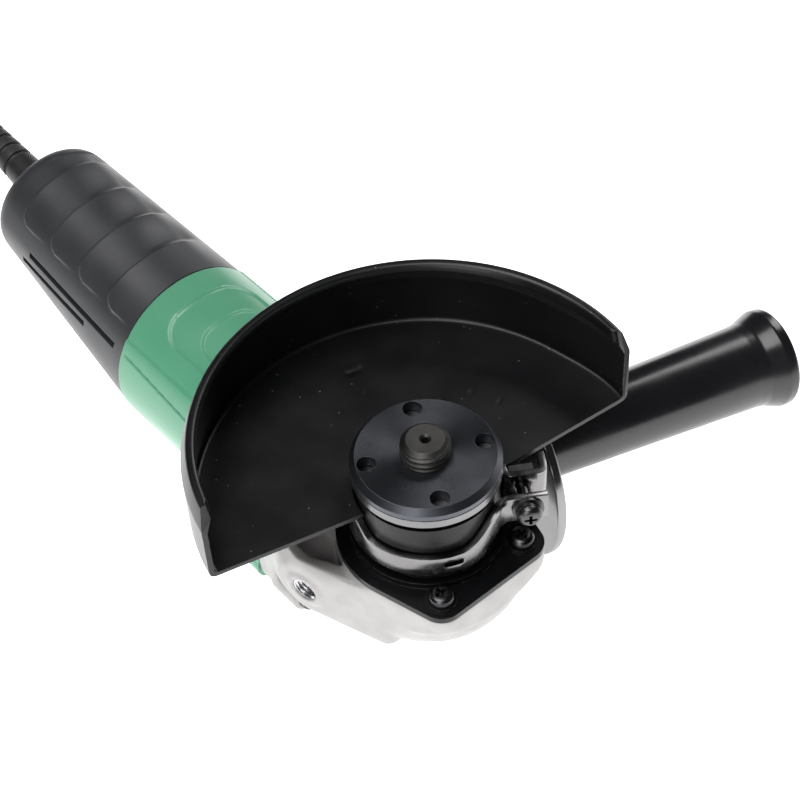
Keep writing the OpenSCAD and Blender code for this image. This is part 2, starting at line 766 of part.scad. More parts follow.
module switch_plunger() color(cream) on_slider() translate([11, 0, 0]) disc(43.5, 53, 2);

module switch_body() color(charcoal) on_slider() difference() {
  block([4.6, -7.5, 44.5], [16, 7.5, 65]);
  translate([11, 0, 0]) disc(44, 54, 2.1);
}

// ---- lead ----

cord_r = cord_d / 2;
sleeve_len = 40;

module cord_clamp() color(charcoal) along_tail() difference() {
  block([-11, -8, bridge_z], [11, -cord_r - 0.05, bridge_z + 4.4]);
  for (x = [-8, 8]) translate([x, 0, bridge_z + 2.2]) rotate([90, 0, 0]) disc(0, 12, 1.6);
}

module cord_clamp_screws() color(dark_steel) along_tail() for (x = [-8, 8])
  translate([x, -8, bridge_z + 2.2]) rotate([90, 0, 0]) pan_screw(1.2, 14, 2.1, 1.4);

module inner_cord() color(black) along_tail() disc(56, 72, cord_r);

module cord_sleeve() color(black) along_tail() {
  disc(72, 74.7, 8.6);
  disc(74.7, tail_len, sleeve_r);
  cone(tail_len, tail_len + sleeve_len, sleeve_r, cord_r + 0.8);
}

// Where the lead leaves its sleeve, and the way it takes
exit_y = tail_end_y + sleeve_len * cos(tail_pitch);
exit_z = axis_z + tail_rise * (exit_y - seam_y);
RUN_ROUTE = [[0, 246, -26], [0, 262, -27], [0, 278, -32], [1, 293, -42], [2, 306, -54], [4, 321, -64],
             [8, 337, -68.5], [13, 351, -68.5], [18, 364, -68.5]];
coil_centre = [-30, 380];
END_ROUTE = [[-78, 371, -46], [-78.5, 358, -47], [-79, 346, -51], [-79.5, 334, -58], [-80, 322, -65],
             [-80, 309, -69], [-80, 296, -69.7], [-80, 288, -69.7]];

function catmull(p, i, t) =
  let (a = p[max(i - 1, 0)], b = p[i], c = p[i + 1], d = p[min(i + 2, len(p) - 1)])
  b + t * (0.5 * (c - a) + t * ((a - 2.5 * b + 2 * c - 0.5 * d) + t * (-0.5 * a + 1.5 * b - 1.5 * c + 0.5 * d)));
function smooth(p, per) =
  concat([for (i = [0 : len(p) - 2], k = [0 : per - 1]) catmull(p, i, k / per)], [p[len(p) - 1]]);
function unit(v) = v / norm(v);

// A round tube along a list of points
module sweep(path, r) {
  n = len(path);
  sides = 10;
  function side_dir(i) = unit(cross(path[min(i + 1, n - 1)] - path[max(i - 1, 0)], [0.05, 0.03, 1]));
  function up_dir(i) = unit(cross(side_dir(i), path[min(i + 1, n - 1)] - path[max(i - 1, 0)]));
  points = [for (i = [0 : n - 1], s = [0 : sides - 1])
    path[i] + r * cos(360 * s / sides) * side_dir(i) + r * sin(360 * s / sides) * up_dir(i)];
  walls = [for (i = [0 : n - 2], s = [0 : sides - 1]) let (t = (s + 1) % sides)
    [i * sides + s, (i + 1) * sides + s, (i + 1) * sides + t, i * sides + t]];
  polyhedron(points, concat(walls, [[for (s = [0 : sides - 1]) s]],
    [[for (s = [sides - 1 : -1 : 0]) (n - 1) * sides + s]]));
}

module cord_run() color(black) sweep(smooth(concat([[0, exit_y, exit_z]], RUN_ROUTE), 2), cord_r);
module cord_end() color(black) sweep(smooth(END_ROUTE, 2), cord_r);

bundle_w = 3 * cord_d;        // the coil is three cords wide and four high
bundle_h = 4 * cord_d;
tie_t = 1.2;
module at_coil() translate([coil_centre[0], coil_centre[1], back_z + tie_t]) children();

module cord_coil() color(black) at_coil() rotate_extrude() translate([coil_d / 2, 0])
  hull() for (x = [-cord_d, cord_d], z = [cord_r, bundle_h - cord_r]) translate([x, z]) circle(r = cord_r, $fn = 24);

module coil_tie() color(black) at_coil() rotate(230) translate([coil_d / 2, 0, 0]) rotate([90, 0, 0])
  translate([0, 0, -3]) linear_extrude(6) difference() {
    rounded_square(bundle_w / 2 + tie_t, -tie_t, bundle_h + tie_t, cord_r + tie_t);
    rounded_square(bundle_w / 2 + 0.4, -0.05, bundle_h + 0.05, cord_r);
  }

// Two-pin round plug, lying beside the coil
plug_end = END_ROUTE[len(END_ROUTE) - 1];
module at_plug() translate([plug_end[0], plug_end[1], back_z]) rotate([90, 0, 0]) children();

module plug_body() color(black) at_plug() {
  // the neck is flat where it lies on the floor
  intersection() {
    translate([0, cord_r, 0]) cone(0, 26.2, cord_r + 0.8, 8);
    block([-18, 0, -1], [18, 18, 27]);
  }
  translate([0, 13, 26]) intersection() {
    disc(0, 20, 17.6);
    block([-18, -13, -1], [18, 13, 21]);
  }
}

module plug_pins() color(steel) at_plug() for (x = [-9.5, 9.5]) translate([x, 13, 46]) {
  disc(0, 18, 2.4);
  cone(18, 19, 2.4, 1.6);
}

gear_case();
bearing_cover();
cover_screws();
case_screws();
spindle_bearing();
bearing_retainer();
needle_bush();
motor_housing();
rear_spider();
fan_baffle();
stator_core();
field_coils();
front_bearing();
front_bearing_plate();
rear_bearing();
rear_bearing_bush();
brush_holders();
carbon_brushes();
brush_springs();
tail_cover();
tail_screw();
switch_body();
cord_clamp();
cord_clamp_screws();
inner_cord();
cord_sleeve();
cord_run();
cord_coil();
coil_tie();
cord_end();
plug_body();
plug_pins();
spindle();
inner_flange();
ring_gear();
gear_circlip();
lock_nut();
armature_shaft();
armature_core();
armature_windings();
commutator();
cooling_fan();
pinion();
pinion_nut();
wheel_guard();
guard_collar();
clamp_screw();
clamp_washers();
clamp_nut();
lock_button();
lock_pin();
lock_pin_clip();
lock_spring();
switch_knob();
switch_rod();
switch_plunger();
handle_grip();
handle_stud();
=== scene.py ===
"""Angle grinder lying on its back: the looks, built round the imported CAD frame.

Shapes are worked out in millimetres in the CAD frame; build() turns them into metres.
"""
import json
import math

import bmesh
import bpy
from mathutils import Matrix, Vector


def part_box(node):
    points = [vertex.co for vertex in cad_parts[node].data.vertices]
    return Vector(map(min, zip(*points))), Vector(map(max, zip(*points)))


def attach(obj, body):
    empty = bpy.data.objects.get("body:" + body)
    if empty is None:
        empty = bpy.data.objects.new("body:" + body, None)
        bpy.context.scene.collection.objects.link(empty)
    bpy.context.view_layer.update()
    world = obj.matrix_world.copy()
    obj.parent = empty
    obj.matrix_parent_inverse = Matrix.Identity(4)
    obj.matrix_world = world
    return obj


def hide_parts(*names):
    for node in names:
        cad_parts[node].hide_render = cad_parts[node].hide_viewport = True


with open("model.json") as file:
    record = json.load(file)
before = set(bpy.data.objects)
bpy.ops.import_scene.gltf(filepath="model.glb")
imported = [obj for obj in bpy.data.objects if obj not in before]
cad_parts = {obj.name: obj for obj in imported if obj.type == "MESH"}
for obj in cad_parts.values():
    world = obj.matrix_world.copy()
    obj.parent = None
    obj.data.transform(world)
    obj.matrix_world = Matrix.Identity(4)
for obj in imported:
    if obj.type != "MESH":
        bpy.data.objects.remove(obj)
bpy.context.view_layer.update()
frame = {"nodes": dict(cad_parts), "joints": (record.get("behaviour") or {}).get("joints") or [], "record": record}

MM = 0.001
CORD_D = 7.5
NODES = frame["nodes"]
RECORD = frame["record"]
JOINTS = {j["name"]: j for j in frame["joints"]}
MOUNTS = {m["name"]: m for m in RECORD["mounts"]}


def box_mm(node):
    """A CAD node's low and high corners in millimetres."""
    low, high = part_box(node)
    return low / MM, high / MM


def axis_frame(origin, direction, side):
    """A matrix whose Z runs along direction and whose X lies towards side."""
    z = Vector(direction).normalized()
    x = (Vector(side) - Vector(side).dot(z) * z).normalized()
    y = z.cross(x)
    rows = [[x[i], y[i], z[i], origin[i]] for i in range(3)]
    return Matrix(rows + [[0, 0, 0, 1]])


MOTOR_Z = JOINTS["armature_spin"]["pos_m"][2] / MM
BACK_Z = MOUNTS["back_rest"]["pos_m"][2] / MM
SEAM_Y = box_mm("motor_housing")[1].y
TAIL_AXIS = -Vector(JOINTS["switch_slide"]["axis"])
MOTOR = axis_frame((0, 0, MOTOR_Z), (0, 1, 0), (1, 0, 0))
TAIL = axis_frame((0, SEAM_Y, MOTOR_Z), TAIL_AXIS, (1, 0, 0))
TAIL_LENGTH = (box_mm("tail_cover")[1].y - SEAM_Y) / TAIL_AXIS.y
HOUSING_R = 27.2

# The handle's axis mirrors the spare hole's; distances along it count from the case's centre plane
HOLE_MOUTH = Vector(MOUNTS["spare_handle_hole"]["pos_m"]) / MM
HOLE_AXIS = Vector(MOUNTS["spare_handle_hole"]["axis"])
BOSS_END = abs(HOLE_MOUTH.x / HOLE_AXIS.x)
HANDLE_AXIS = Vector(JOINTS["handle_unscrew"]["axis"])
HANDLE_ROOT = HOLE_MOUTH - HOLE_AXIS * BOSS_END
HANDLE = axis_frame(HANDLE_ROOT, HANDLE_AXIS, (0, 1, 0))
SPARE_HOLE = axis_frame(HANDLE_ROOT, HOLE_AXIS, (0, 1, 0))


# ---- camera and lead ----

def place_camera():
    """The photo's view, solved from the guard's rim, the nut, the spindle and the handle."""
    azimuth, elevation, roll = math.radians(-38.02), math.radians(47.94), -0.0637
    target = Vector((0.0073, 0.01905, 0))
    distance = 0.5394
    back = Vector((math.sin(azimuth) * math.cos(elevation),
                   -math.cos(azimuth) * math.cos(elevation), math.sin(elevation)))
    right = Vector((0, 0, 1)).cross(back).normalized()
    up = back.cross(right)
    x = math.cos(roll) * right + math.sin(roll) * up
    y = back.cross(x)
    data = bpy.data.cameras.new("camera")
    data.sensor_width = 36
    data.lens = 88.21
    data.clip_start = 0.01
    camera = bpy.data.objects.new("camera", data)
    place = target + back * distance
    rows = [[x[i], y[i], back[i], place[i]] for i in range(3)]
    camera.matrix_world = Matrix(rows + [[0, 0, 0, 1]])
    bpy.context.scene.collection.objects.link(camera)
    bpy.context.scene.camera = camera


# The lead's route in metres, the same round numbers as in the CAD source
LEAD_EXIT = (0.0, 0.23156, -0.02759)
RUN_ROUTE = [(0.0, 0.246, -0.026), (0.0, 0.262, -0.027), (0.0, 0.278, -0.032), (0.001, 0.293, -0.042),
             (0.002, 0.306, -0.054), (0.004, 0.321, -0.064), (0.008, 0.337, -0.0685), (0.013, 0.351, -0.0685)]
COIL_CENTRE = Vector((-0.030, 0.380, 0))
COIL_OUTER = 0.0515
COIL_LOW = -0.0685
COIL_START = -18.4
COIL_TURNS = 7 + (180 - COIL_START) / 360
END_ROUTE = [(-0.078, 0.371, -0.046), (-0.0785, 0.358, -0.047), (-0.079, 0.346, -0.051),
             (-0.0795, 0.334, -0.058), (-0.080, 0.322, -0.065), (-0.080, 0.309, -0.069),
             (-0.080, 0.296, -0.0697), (-0.080, 0.288, -0.0697)]


def smooth_step(x):
    """0 below 0, 1 above 1, and a smooth rise between."""
    x = min(1, max(0, x))
    return x * x * (3 - 2 * x)


def coil_points(per_turn=16):
    """Layers of turns lying beside each other, wound inwards and outwards by turns."""
    spacing = (CORD_D + 0.1) * MM
    climb = 0.3  # share of a turn in which the lead climbs to the next layer
    steps = round(COIL_TURNS * per_turn)
    points = []
    for i in range(steps + 1):
        turn = i * COIL_TURNS / steps
        sweep = turn % 4
        inwards = sweep if sweep < 2 else 4 - sweep
        layer = sum(smooth_step((turn - change + climb / 2) / climb) for change in (2, 4, 6))
        r = COIL_OUTER - spacing * inwards
        a = math.radians(COIL_START + 360 * turn)
        height = Vector((0, 0, COIL_LOW + spacing * layer))
        points.append(COIL_CENTRE + Vector((r * math.cos(a), r * math.sin(a), 0)) + height)
    return points


def lead():
    """The mains lead, one curve from the sleeve to the plug."""
    points = [LEAD_EXIT] + RUN_ROUTE + coil_points() + END_ROUTE
    curve = bpy.data.curves.new("mains_lead", "CURVE")
    curve.dimensions = "3D"
    curve.bevel_depth = CORD_D / 2 * MM
    curve.bevel_resolution = 5
    curve.resolution_u = 6
    curve.use_fill_caps = True
    spline = curve.splines.new("BEZIER")
    spline.bezier_points.add(len(points) - 1)
    for knot, point in zip(spline.bezier_points, points):
        knot.co = point
        knot.handle_left_type = knot.handle_right_type = "AUTO"
    cord = bpy.data.objects.new("mains_lead", curve)
    bpy.context.scene.collection.objects.link(cord)
    return cord


# ---- outlines and meshes ----

def rounded(corners, steps=5):
    """A closed outline of (x, y, radius) corners, each one rounded."""
    points = []
    for i, (x, y, radius) in enumerate(corners):
        corner = Vector((x, y))
        before = Vector(corners[i - 1][:2]) - corner
        after = Vector(corners[(i + 1) % len(corners)][:2]) - corner
        if radius <= 0:
            points.append((x, y))
            continue
        cut = radius / math.tan(before.angle(after) / 2)
        cut = min(cut, before.length * 0.499, after.length * 0.499)
        start = corner + before.normalized() * cut
        end = corner + after.normalized() * cut
        for k in range(steps + 1):
            t = k / steps
            points.append(tuple(start * (1 - t) ** 2 + corner * (2 * t * (1 - t)) + end * t * t))
    return points


def dense(outline, step, where=lambda x, y: True):
    """The closed outline with extra points, so that no stretch chosen by where is longer than step."""
    points = []
    for i, (x, y) in enumerate(outline):
        nx, ny = outline[(i + 1) % len(outline)]
        points.append((x, y))
        pieces = math.ceil(math.hypot(nx - x, ny - y) / step)
        if pieces > 1 and where((x + nx) / 2, (y + ny) / 2):
            shares = [k / pieces for k in range(1, pieces)]
            points += [(x + (nx - x) * share, y + (ny - y) * share) for share in shares]
    return points


def lathe(outline, steps=96, start=0, span=360, shape=None):
    """Points and faces of a closed (radius, height) outline turned about Z.

    shape moves each point, given and returned as (angle, radius, height).
    """
    full = span >= 360
    rings = steps if full else steps + 1
    count = len(outline)
    points = []
    for i in range(rings):
        for r, z in outline:
            a = start + span * i / steps
            if shape:
                a, r, z = shape(a, r, z)
            points.append((r * math.cos(math.radians(a)), r * math.sin(math.radians(a)), z))
    faces = []
    for i in range(steps):
        j = (i + 1) % rings
        for k in range(count):
            m = (k + 1) % count
            faces.append((i * count + k, j * count + k, j * count + m, i * count + m))
    if not full:
        faces.append(tuple(range(count)))
        faces.append(tuple(range(steps * count + count - 1, steps * count - 1, -1)))
    return points, faces


def slab(outline, z0, z1):
    """A flat plate with that closed outline."""
    n = len(outline)
    points = [(x, y, z) for z in (z0, z1) for x, y in outline]
    faces = [(i, (i + 1) % n, n + (i + 1) % n, n + i) for i in range(n)]
    return points, faces + [tuple(range(n))[::-1], tuple(range(n, 2 * n))]


def block(low, high):
    """A box given by its low and high corners."""
    (x0, y0, z0), (x1, y1, z1) = low, high
    return slab([(x0, y0), (x1, y0), (x1, y1), (x0, y1)], z0, z1)


def moved(part, matrix):
    """The part with matrix applied to its points."""
    points, faces = part
    return [tuple(matrix @ Vector(p)) for p in points], faces


def build(name, parts, place=None):
    """A mesh object in metres from parts in millimetres."""
    points, faces = [], []
    for part_points, part_faces in parts:
        base = len(points)
        points += part_points
        faces += [tuple(base + i for i in face) for face in part_faces]
    matrix = Matrix.Scale(MM, 4) @ (place or Matrix.Identity(4))
    mesh = bpy.data.meshes.new(name)
    mesh.from_pydata([matrix @ Vector(p) for p in points], [], faces)
    bm = bmesh.new()
    bm.from_mesh(mesh)
    bmesh.ops.remove_doubles(bm, verts=bm.verts, dist=2e-7)
    bmesh.ops.dissolve_degenerate(bm, dist=1e-7, edges=bm.edges)
    bmesh.ops.recalc_face_normals(bm, faces=bm.faces)
    bm.to_mesh(mesh)
    bm.free()
    obj = bpy.data.objects.new(name, mesh)
    bpy.context.scene.collection.objects.link(obj)
    return obj


def bake_modifiers(obj):
    """Replaces obj's mesh with its modified one."""
    graph = bpy.context.evaluated_depsgraph_get()
    mesh = bpy.data.meshes.new_from_object(obj.evaluated_get(graph))
    obj.modifiers.clear()
    obj.data = mesh
    return obj


def cut_away(obj, parts, place=None):
    """Cuts the parts out of obj."""
    tool = build("cutter", parts, place)
    modifier = obj.modifiers.new("cut", "BOOLEAN")
    modifier.object = tool
    modifier.operation = "DIFFERENCE"
    modifier.solver = "EXACT"
    bake_modifiers(obj)
    bpy.data.objects.remove(tool)
    return obj


def soften(obj, width, segments=2, angle=35):
    """Rounds the sharp edges."""
    modifier = obj.modifiers.new("edges", "BEVEL")
    modifier.width = width * MM
    modifier.segments = segments
    modifier.limit_method = "ANGLE"
    modifier.angle_limit = math.radians(angle)
    modifier.use_clamp_overlap = True
    return bake_modifiers(obj)


def piece(obj, body, material, node=None, extra=(), sharp=32):
    """Shades obj, gives it its material and body, and lets it stand for its CAD node."""
    obj.data.materials.clear()
    obj.data.materials.append(material)
    if obj.type == "MESH":
        obj.data.shade_smooth()
        obj.data.set_sharp_from_angle(angle=math.radians(sharp))
    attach(obj, body)
    if node:
        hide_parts(node, *extra)
    return obj


# ---- materials ----

class Surface:
    """A node material: base colour with mottling, grain in bump and roughness, soft edges and worn edges."""

    def __init__(self, name, colour, roughness, metallic=0.0):
        self.material = bpy.data.materials.new(name)
        self.material.use_nodes = True
        self.tree = self.material.node_tree
        self.shader = self.tree.nodes["Principled BSDF"]
        self.shader.inputs["Metallic"].default_value = metallic
        self.coords = self.node("ShaderNodeTexCoord").outputs["Object"]
        base = self.node("ShaderNodeRGB")
        base.outputs[0].default_value = (*colour, 1)
        self.colour = base.outputs[0]
        self.roughness = roughness
        self.rough = None
        self.normal = None

    def node(self, kind, **values):
        """A new node with those settings."""
        made = self.tree.nodes.new(kind)
        for key, value in values.items():
            setattr(made, key, value)
        return made

    def link(self, source, target):
        self.tree.links.new(source, target)

    def noise(self, size, detail):
        """Noise with blobs about size millimetres across."""
        texture = self.node("ShaderNodeTexNoise")
        texture.inputs["Scale"].default_value = 1 / (size * MM)
        texture.inputs["Detail"].default_value = detail
        self.link(self.coords, texture.inputs["Vector"])
        return texture.outputs["Fac"]

    def ranged(self, value, low, high, from_low=0.35, from_high=0.65):
        """Spreads value, which runs from from_low to from_high, over low to high."""
        node = self.node("ShaderNodeMapRange")
        numbers = {"From Min": from_low, "From Max": from_high, "To Min": low, "To Max": high}
        for name, number in numbers.items():
            node.inputs[name].default_value = number
        self.link(value, node.inputs["Value"])
        return node.outputs["Result"]

    def math(self, operation, a, b=None):
        """A math node on numbers or other nodes' outputs."""
        node = self.node("ShaderNodeMath", operation=operation)
        for socket, value in zip(node.inputs, (a, b)):
            if isinstance(value, (int, float)):
                socket.default_value = value
            elif value is not None:
                self.link(value, socket)
        return node.outputs[0]

    def tint(self, factor, colour):
        """Mixes colour in by factor."""
        node = self.node("ShaderNodeMix", data_type="RGBA")
        self.link(factor, node.inputs["Factor"])
        self.link(self.colour, node.inputs["A"])
        node.inputs["B"].default_value = (*colour, 1)
        self.colour = node.outputs["Result"]

    def mottle(self, size, colour, amount, spread=0.06):
        """Slow changes of colour and roughness."""
        field = self.noise(size, 4)
        self.tint(self.ranged(field, 0, amount), colour)
        self.rough = self.ranged(field, self.roughness - spread, self.roughness + spread)

    def bump(self, height, depth):
        """Lifts the surface by depth millimetres where height is 1."""
        node = self.node("ShaderNodeBump")
        node.inputs["Distance"].default_value = depth * MM
        self.link(height, node.inputs["Height"])
        if self.normal:
            self.link(self.normal, node.inputs["Normal"])
        self.normal = node.outputs["Normal"]

    def soft_edges(self, radius, wear_colour=None, wear=0.5):
        """Rounds edges in the shading and lightens them where they are worn."""
        edge = self.node("ShaderNodeBevel", samples=4)
        edge.inputs["Radius"].default_value = radius * MM
        self.normal = edge.outputs["Normal"]
        if wear_colour:
            flat = self.node("ShaderNodeNewGeometry").outputs["Normal"]
            dot = self.node("ShaderNodeVectorMath", operation="DOT_PRODUCT")
            self.link(edge.outputs["Normal"], dot.inputs[0])
            self.link(flat, dot.inputs[1])
            bend = self.ranged(dot.outputs["Value"], 1, 0, 0.8, 0.98)
            patches = self.ranged(self.noise(1.5, 4), 0, wear, 0.45, 0.6)
            self.tint(self.math("MULTIPLY", bend, patches), wear_colour)

    def paint_shade_in_hollows(self, reach, colour):
        """Painted shade: darkens narrow hollows by how closed in they are, as if shadow fell there."""
        hollow = self.node("ShaderNodeAmbientOcclusion", samples=8)
        hollow.inputs["Distance"].default_value = reach * MM
        self.tint(self.ranged(hollow.outputs["AO"], 0.9, 0, 0.25, 0.6), colour)

    def specks(self, size, colour, threshold):
        """Small scattered spots of dust or paint."""
        cells = self.node("ShaderNodeTexVoronoi")
        cells.inputs["Scale"].default_value = 1 / (size * MM)
        self.link(self.coords, cells.inputs["Vector"])
        spot = self.ranged(cells.outputs["Distance"], 0.6, 0, threshold * 0.5, threshold)
        chosen = self.ranged(self.noise(size * 1.7, 1), 0, 1, 0.58, 0.62)
        self.tint(self.math("MULTIPLY", spot, chosen), colour)

    def ridges(self, distance, pitch, depth):
        """Even ridges, pitch millimetres apart, along a distance in metres."""
        self.bump(self.math("SINE", self.math("MULTIPLY", distance, 2 * math.pi / (pitch * MM))), depth)

    def along(self, axis):
        """The coordinate along X, Y or Z."""
        split = self.node("ShaderNodeSeparateXYZ")
        self.link(self.coords, split.inputs[0])
        return split.outputs[axis]

    def turned(self, pitch, depth):
        """Fine circles round the spindle's axis, as a lathe leaves them."""
        squares = [self.math("POWER", self.along(axis), 2) for axis in "XY"]
        self.ridges(self.math("SQRT", self.math("ADD", *squares)), pitch, depth)

    def done(self):
        """Joins the chains to the shader and gives the material back."""
        self.link(self.colour, self.shader.inputs["Base Color"])
        if self.rough:
            self.link(self.rough, self.shader.inputs["Roughness"])
        else:
            self.shader.inputs["Roughness"].default_value = self.roughness
        if self.normal:
            self.link(self.normal, self.shader.inputs["Normal"])
        return self.material


def plastic(name, colour, roughness, light, grain=0.5, depth=0.012,
            wear=0.35, mottling=0.25, shine=0.5, ior=1.5):
    """Moulded plastic. light is the colour of its paler patches and of its worn edges."""
    s = Surface(name, colour, roughness)
    s.shader.inputs["Specular IOR Level"].default_value = shine
    s.shader.inputs["IOR"].default_value = ior
    s.soft_edges(0.3, light if wear else None, wear)
    s.mottle(18, light, mottling, 0.04)
    s.bump(s.noise(grain, 2), depth)
    return s.done()


def paint(name, roughness, orange_peel, dust, shine):
    """Black paint with faint orange peel, worn edges and specks of dust."""
    s = Surface(name, (0.004, 0.0042, 0.0048), roughness)
    s.shader.inputs["Specular IOR Level"].default_value = shine
    s.soft_edges(0.25, (0.16, 0.16, 0.165), 0.5)
    s.mottle(12, (0.006, 0.006, 0.007), 0.5, 0.03)
    s.specks(2.6, (0.22, 0.22, 0.22), dust * 0.35)
    s.bump(s.noise(1.1, 2), orange_peel)
    return s.done()


def metal(name, colour, roughness, light, pitch=None):
    """Steel or brass with lighter edges, and with a lathe's circles if their pitch is given."""
    s = Surface(name, colour, roughness, 1.0)
    s.soft_edges(0.2, light, 0.7)
    s.mottle(7, light, 0.25)
    if pitch:
        s.turned(pitch, 0.003)
    s.bump(s.noise(0.35, 3), 0.004)
    return s.done()


def turned_black(name):
    """Blackened steel with a lathe's circles, which draw the light out into two lobes."""
    s = Surface(name, (0.075, 0.079, 0.09), 0.30, 0.9)
    s.soft_edges(0.2)
    s.mottle(9, (0.07, 0.075, 0.085), 0.4, 0.03)
    s.turned(0.42, 0.004)
    tangent = s.node("ShaderNodeTangent", direction_type="RADIAL", axis="Z")
    s.link(tangent.outputs["Tangent"], s.shader.inputs["Tangent"])
    s.shader.inputs["Anisotropic"].default_value = 0.85
    return s.done()


def casting(name):
    """Bare cast aluminium, grainy and dull, with painted shade in its narrow hollows."""
    s = Surface(name, (0.40, 0.39, 0.385), 0.45, 0.35)
    s.mottle(6, (0.34, 0.33, 0.325), 0.5, 0.05)
    # painted shade: the case's pockets are darkened where the guard would shadow them
    s.paint_shade_in_hollows(4, (0.03, 0.03, 0.03))
    s.bump(s.noise(0.45, 4), 0.035)
    s.bump(s.noise(3.5, 3), 0.05)
    return s.done()


def laminations(name):
    """Stacked sheets of iron along the motor's axis."""
    s = Surface(name, (0.18, 0.18, 0.19), 0.45, 0.9)
    s.ridges(s.along("Y"), 0.6, 0.03)
    s.mottle(5, (0.3, 0.22, 0.16), 0.3)
    return s.done()


def copper_wire(name):
    """Wire wound side by side."""
    s = Surface(name, (0.72, 0.33, 0.16), 0.32, 0.95)
    s.ridges(s.along("X"), 0.8, 0.08)
    s.mottle(4, (0.45, 0.18, 0.08), 0.4)
    return s.done()


def rubber(name):
    """Matt black rubber or soft cable sheath."""
    s = Surface(name, (0.014, 0.014, 0.015), 0.5)
    s.mottle(10, (0.03, 0.03, 0.032), 0.6)
    s.bump(s.noise(0.6, 3), 0.02)
    return s.done()


# ---- pieces ----

def panel_distance(s, y, half_width, top, radius):
    """Distance outside (positive) a strip |s| < half_width, y < top with rounded top corners."""
    dx = abs(s) - half_width + radius
    dy = y - top + radius
    return math.hypot(max(dx, 0), max(dy, 0)) + min(max(dx, dy), 0) - radius


def wheel_guard(material):
    """The pressed half ring: plate, wall and rolled rim, its ends cut off along straight lines."""
    low, high = box_mm("wheel_guard")
    outer, rim, back = high.x, high.z, low.z
    inner, sheet, bead = 20.4, 1.5, 2.5
    shoulder, rim_r = rim - 5.4, outer - 2
    first, span = -10, 175
    clip_deg, clip_z = 3.4, rim - 4.5
    right_edge, right_slope = Vector((62.0, -14.65)), math.radians(-5.6)
    left_edge, left_slope = Vector((-62.5, 14.5)), math.radians(-15)
    outline = rounded([
        (inner, back, 0.3), (outer, back, 2.4), (outer, shoulder, 3), (rim_r, rim, 1.25),
        (rim_r - bead, rim, 1.2), (rim_r - bead, rim - bead, 1.1),
        (rim_r - sheet, rim - bead - 0.4, 0.3), (outer - sheet, shoulder - 0.6, 3),
        (outer - sheet, back + sheet, 1.3), (inner, back + sheet, 0.3)], 6)
    outline = dense(outline, 0.8, lambda r, z: z > back + 0.1 and r < outer - 4)
    weld_places = (8.7, 36.3), (22.7, 19.5), (31.3, 16.3), (34.5, 8.1)
    welds = [(math.hypot(x, y), math.degrees(math.atan2(y, x))) for x, y in weld_places]
    weld_depth, weld_size = 0.1, 1.2
    dent_r, dent_a = 46.5, 75.8
    dent_depth, dent_half_width, dent_half_length, dent_bow = 0.35, 1.1, 3.4, 0.06

    def wall_offset(a):
        """How far the photo's wall lies outside the CAD's round one, or inside it where negative.

        They meet at the left end. The photo's falls back from there and comes out a little at the right end.
        """
        left_end, right_end = 140, 15
        fall, rise = 1.9, 2.2
        return fall * (math.cos(math.radians(a - left_end)) - 1) + rise * smooth_step((right_end - a) / 25)

    def edge_angle(point, slope, r):
        """Where the circle of radius r meets the straight edge through point."""
        normal = Vector((-math.sin(slope), math.cos(slope)))
        offset = normal.dot(point)
        across = math.degrees(math.asin(offset / r)) + math.degrees(slope)
        return across if point.x > 0 else 180 + 2 * math.degrees(slope) - across

    def shape(a, r, z):
        clip = clip_deg * min(1, max(0, (z - clip_z) / (rim - clip_z)))
        share = (a - first) / span
        if z > rim - bead - 0.2 and r < rim_r - sheet:
            # the bead runs out before the rim's ends
            from_end = min(share, 1 - share) * span
            r += (rim_r - sheet - r) * (1 - smooth_step((from_end - 0.3) / 2))
        below_rim = min(1, max(0, (rim - z) / (rim - shoulder)))
        r += wall_offset(a) * below_rim * smooth_step((r - 46) / 16)
        low_end = edge_angle(right_edge, right_slope, r) + clip
        high_end = edge_angle(left_edge, left_slope, r) - clip
        a = low_end + share * (high_end - low_end)
        if abs(z - back - sheet) < 0.01 and r > inner + 1:
            for weld_r, weld_a in welds:
                gap = math.hypot(r - weld_r, math.radians(a - weld_a) * r)
                z -= weld_depth * smooth_step(weld_size - gap)
            along = math.radians(a - dent_a) * r
            across = r - dent_r - along * along * dent_bow
            dent = smooth_step(dent_half_width - abs(across))
            z -= dent_depth * dent * smooth_step((dent_half_length - abs(along)) / 1.5)
        return a, r, z

    shell = build("wheel_guard_shell", [lathe(outline, 2 * span, first, span, shape)])
    piece(shell, "guard", material, "wheel_guard")


